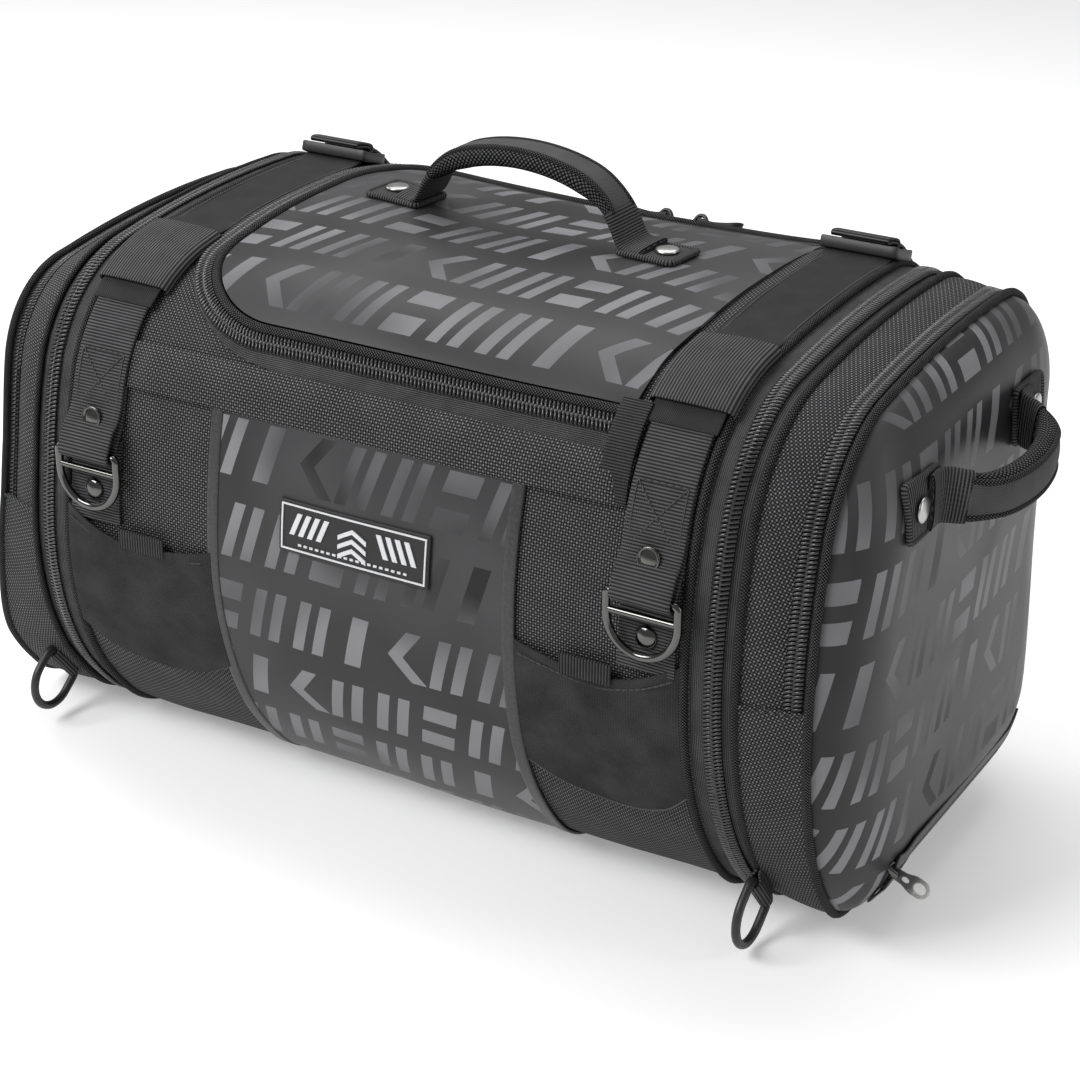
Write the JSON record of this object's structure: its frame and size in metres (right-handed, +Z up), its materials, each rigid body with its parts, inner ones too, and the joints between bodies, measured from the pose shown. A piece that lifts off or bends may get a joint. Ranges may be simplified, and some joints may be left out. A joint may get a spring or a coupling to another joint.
{
  "type": "tail bag",
  "caption": "Soft tail bag for a motorcycle seat with a zipped lid, carry handles, lashing rings, elastic pockets and end sections that pull out to expand.",
  "frame": {"origin": "middle of the footprint box, on the ground the bag stands on", "axes": "+X along the bag towards its right end seen from the front, -Y towards the front with the patch, +Z up"},
  "size_m": [0.6152, 0.301, 0.3459],
  "materials": {
    "nylon": "woven, matt",
    "vinyl": "embossed coated cloth with a tonal print, semi-gloss",
    "elastic": "fine knit, matt",
    "webbing": "ribbed webbing, matt",
    "coil": "woven tape with coil teeth",
    "patch": "matt with a light raised border",
    "plastic": "satin",
    "black_nickel": "polished dark",
    "satin_steel": "satin",
    "black_wire": "satin",
    "board": "matt"
  },
  "bodies": {
    "bag": {"body_shell": "nylon", "base_board": "board", "front_panel": "vinyl", "badge_patch": "patch", "lid_zipper": "coil", "zipper_cover": "nylon", "pocket_left": "elastic", "pocket_tab_left": "webbing", "front_webbing_left": "webbing", "top_strap_left": "webbing", "keeper_left": "webbing", "webbing_rivet_left_upper": "black_nickel", "webbing_rivet_left_lower": "black_nickel", "rear_anchor_left": "webbing", "expansion_zipper_left": "coil", "bellows_left": "nylon", "pocket_right": "elastic", "pocket_tab_right": "webbing", "front_webbing_right": "webbing", "top_strap_right": "webbing", "keeper_right": "webbing", "webbing_rivet_right_upper": "black_nickel", "webbing_rivet_right_lower": "black_nickel", "rear_anchor_right": "webbing", "expansion_zipper_right": "coil", "bellows_right": "nylon"},
    "lid": {"lid_panel": "vinyl", "top_handle": "webbing", "top_handle_rivet_left": "satin_steel", "top_handle_rivet_right": "satin_steel"},
    "lid_slider_1": {"lid_slider_1": "plastic"},
    "lid_slider_2": {"lid_slider_2": "plastic"},
    "lid_puller_1": {"lid_puller_1": "plastic"},
    "lid_puller_2": {"lid_puller_2": "plastic"},
    "left_end": {"end_shell_left": "nylon", "end_zipper_left": "coil", "end_panel_lower_left": "vinyl", "lower_tab_left": "webbing", "pocket_slider_left": "plastic"},
    "left_flap": {"end_flap_left": "vinyl", "end_handle_left": "webbing", "end_handle_rivet_front_left": "satin_steel", "end_handle_rivet_back_left": "satin_steel"},
    "left_front_ring": {"front_ring_left": "black_nickel"},
    "left_buckle": {"buckle_left": "plastic"},
    "left_lower_ring": {"lower_ring_left": "black_wire"},
    "left_pocket_puller": {"pocket_puller_left": "satin_steel"},
    "right_end": {"end_shell_right": "nylon", "end_zipper_right": "coil", "end_panel_lower_right": "vinyl", "lower_tab_right": "webbing", "pocket_slider_right": "plastic"},
    "right_flap": {"end_flap_right": "vinyl", "end_handle_right": "webbing", "end_handle_rivet_front_right": "satin_steel", "end_handle_rivet_back_right": "satin_steel"},
    "right_front_ring": {"front_ring_right": "black_nickel"},
    "right_buckle": {"buckle_right": "plastic"},
    "right_lower_ring": {"lower_ring_right": "black_wire"},
    "right_pocket_puller": {"pocket_puller_right": "satin_steel"}
  },
  "joints": [
    {"name": "lid_fold", "type": "hinge", "parent": "bag", "child": "lid", "pos_m": [0.1383, 0, 0.2969], "axis": [0, 1, 0], "range_deg": [0, 110]},
    {"name": "lid_slider_1_run", "type": "slide", "parent": "bag", "child": "lid_slider_1", "axis": [1, 0, 0], "range_m": [-0.1, 0]},
    {"name": "lid_slider_2_run", "type": "slide", "parent": "bag", "child": "lid_slider_2", "axis": [1, 0, 0], "range_m": [0, 0.04]},
    {"name": "lid_puller_1_pin", "type": "hinge", "parent": "lid_slider_1", "child": "lid_puller_1", "pos_m": [0.037, 0.11926, 0.29045], "axis": [0, 0.822, -0.5695], "range_deg": [0, 80]},
    {"name": "lid_puller_2_pin", "type": "hinge", "parent": "lid_slider_2", "child": "lid_puller_2", "pos_m": [0.06, 0.11926, 0.29045], "axis": [0, -0.822, 0.5695], "range_deg": [0, 80]},
    {"name": "left_expansion", "type": "slide", "parent": "bag", "child": "left_end", "axis": [-1, 0, 0], "range_m": [0, 0.06], "deforming": ["bellows_left"]},
    {"name": "left_flap_fold", "type": "hinge", "parent": "left_end", "child": "left_flap", "pos_m": [-0.2719, 0, 0.15], "axis": [0, -1, 0], "range_deg": [0, 120]},
    {"name": "left_front_ring_bar", "type": "hinge", "parent": "bag", "child": "left_front_ring", "pos_m": [-0.168, -0.14591, 0.19863], "axis": [-1, 0, 0], "range_deg": [0, 100]},
    {"name": "left_buckle_bar", "type": "hinge", "parent": "bag", "child": "left_buckle", "pos_m": [-0.168, 0.10642, 0.29798], "axis": [-1, 0, 0], "range_deg": [0, 40]},
    {"name": "left_lower_ring_bar", "type": "hinge", "parent": "left_end", "child": "left_lower_ring", "pos_m": [-0.2388, -0.10037, 0.03312], "axis": [0, -0.6129, 0.7902], "range_deg": [-70, 70]},
    {"name": "left_pocket_pin", "type": "hinge", "parent": "left_end", "child": "left_pocket_puller", "pos_m": [-0.27004, -0.06259, 0.03352], "axis": [0.2567, -0.4833, -0.837], "range_deg": [-70, 70]},
    {"name": "right_expansion", "type": "slide", "parent": "bag", "child": "right_end", "axis": [1, 0, 0], "range_m": [0, 0.06], "deforming": ["bellows_right"]},
    {"name": "right_flap_fold", "type": "hinge", "parent": "right_end", "child": "right_flap", "pos_m": [0.2719, 0, 0.15], "axis": [0, 1, 0], "range_deg": [0, 120]},
    {"name": "right_front_ring_bar", "type": "hinge", "parent": "bag", "child": "right_front_ring", "pos_m": [0.168, -0.14591, 0.19863], "axis": [-1, 0, 0], "range_deg": [0, 100]},
    {"name": "right_buckle_bar", "type": "hinge", "parent": "bag", "child": "right_buckle", "pos_m": [0.168, 0.10642, 0.29798], "axis": [-1, 0, 0], "range_deg": [0, 40]},
    {"name": "right_lower_ring_bar", "type": "hinge", "parent": "right_end", "child": "right_lower_ring", "pos_m": [0.2158, -0.1057, 0.02898], "axis": [0, -0.6129, 0.7902], "range_deg": [-70, 70]},
    {"name": "right_pocket_pin", "type": "hinge", "parent": "right_end", "child": "right_pocket_puller", "pos_m": [0.27004, -0.06259, 0.03352], "axis": [0.2567, 0.4833, 0.837], "range_deg": [-70, 70]}
  ]
}
